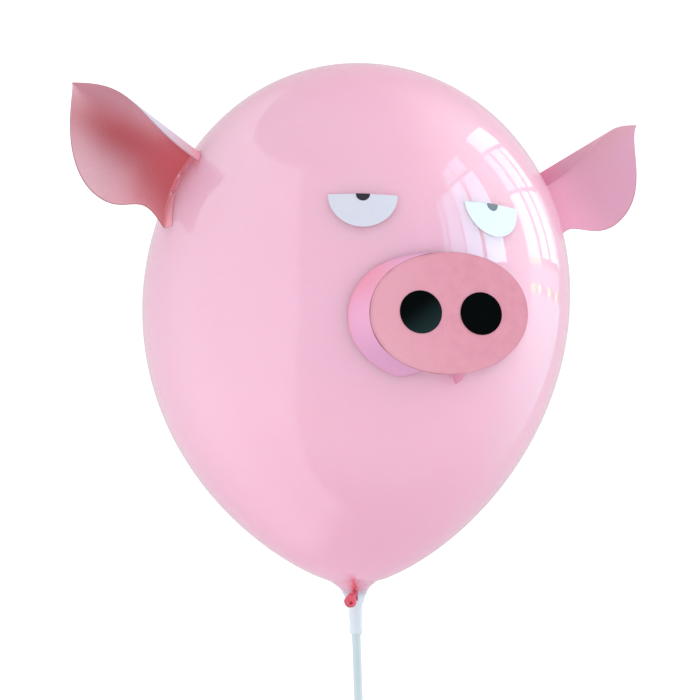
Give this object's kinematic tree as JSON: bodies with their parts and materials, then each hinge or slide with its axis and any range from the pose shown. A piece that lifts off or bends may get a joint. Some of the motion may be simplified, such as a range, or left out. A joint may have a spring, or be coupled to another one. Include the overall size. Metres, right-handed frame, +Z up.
{
  "type": "pig balloon on a stick",
  "caption": "Pink party balloon dressed as a pig's head with paper snout, eyes and ears, on a cup and stick, lying on its back with the face up.",
  "frame": {"origin": "middle of the small flat spot on the balloon's back, on the surface that the object lies on", "axes": "+Z up, the way the face looks; +Y towards the balloon's crown, -Y along the stick; +X towards the pig's left"},
  "size_m": [0.4163, 0.6804, 0.323],
  "materials": {
    "latex": "glossy, slightly translucent",
    "white_plastic": "satin, translucent",
    "snout_card": "matt",
    "band_card": "matt",
    "ear_card": "matt",
    "white_card": "matt",
    "black_card": "matt",
    "dark_card": "satin"
  },
  "bodies": {
    "root": {"balloon": "latex", "balloon_cup": "white_plastic", "balloon_stick": "white_plastic", "snout_band": "band_card", "snout_card": "snout_card", "nostril_right": "black_card", "nostril_left": "black_card", "eye_right": "white_card", "eye_left": "white_card", "pupil_right": "dark_card", "pupil_left": "dark_card", "ear_right": "ear_card", "ear_left": "ear_card"}
  },
  "joints": []
}
